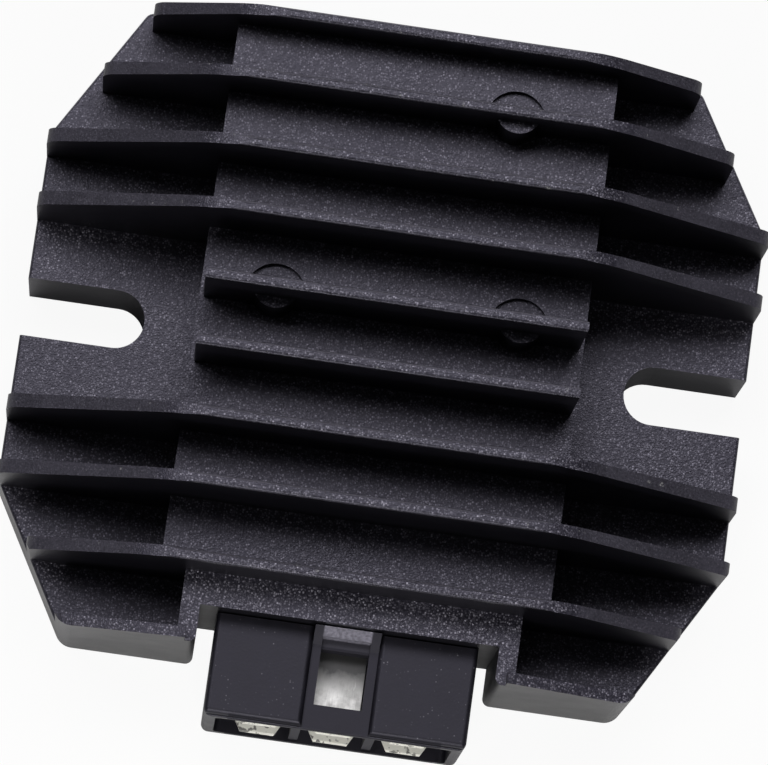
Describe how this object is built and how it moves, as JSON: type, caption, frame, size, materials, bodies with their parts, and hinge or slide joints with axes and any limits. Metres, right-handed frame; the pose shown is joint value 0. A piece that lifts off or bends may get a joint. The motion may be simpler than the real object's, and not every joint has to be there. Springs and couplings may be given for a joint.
{
  "type": "voltage regulator rectifier",
  "caption": "Finned die-cast voltage regulator rectifier with open side bolt slots and a built-in bladed socket in a notch of one edge, for a small engine's charging circuit.",
  "frame": {"origin": "Midway between the round inner ends of the two bolt slots, on the mounting plane (the underside of the casting).", "axes": "+X runs along the fins, from one bolt slot to the other. +Y points away from the socket, so the plug leaves towards -Y. +Z points from the mounting plane to the fin tips."},
  "size_m": [0.0864, 0.0837, 0.03],
  "materials": {
    "casting": "black powder coat with a fine sparkle over die-cast aluminium, smoother and greyer on the walls that face the socket side",
    "socket_plastic": "moulded glass-filled nylon, dark blue-grey, satin",
    "tinned_blade": "tinned copper alloy, bright with fine scratches",
    "board_laminate": "green solder mask on glass-epoxy laminate",
    "insulator": "grey silicone insulating sheet",
    "component_plastic": "black moulded epoxy",
    "capacitor_sleeve": "dark blue shrink sleeve",
    "resistor_body": "tan lacquer",
    "resin": "poured black epoxy, smooth with a slight meniscus"
  },
  "bodies": {
    "root": {"heat_sink": "casting", "connector_housing": "socket_plastic", "circuit_board": "board_laminate", "insulating_sheet": "insulator", "control_chip": "component_plastic", "filter_capacitor": "capacitor_sleeve", "gate_resistors": "resistor_body", "zener_diode": "component_plastic", "driver_transistors": "component_plastic", "potting_resin": "resin", "terminal_upper_left": "tinned_blade", "terminal_lower_left": "tinned_blade", "thyristor_left": "component_plastic", "diode_left": "component_plastic", "terminal_upper_centre": "tinned_blade", "terminal_lower_centre": "tinned_blade", "thyristor_centre": "component_plastic", "diode_centre": "component_plastic", "terminal_upper_right": "tinned_blade", "terminal_lower_right": "tinned_blade", "thyristor_right": "component_plastic", "diode_right": "component_plastic"}
  },
  "joints": []
}
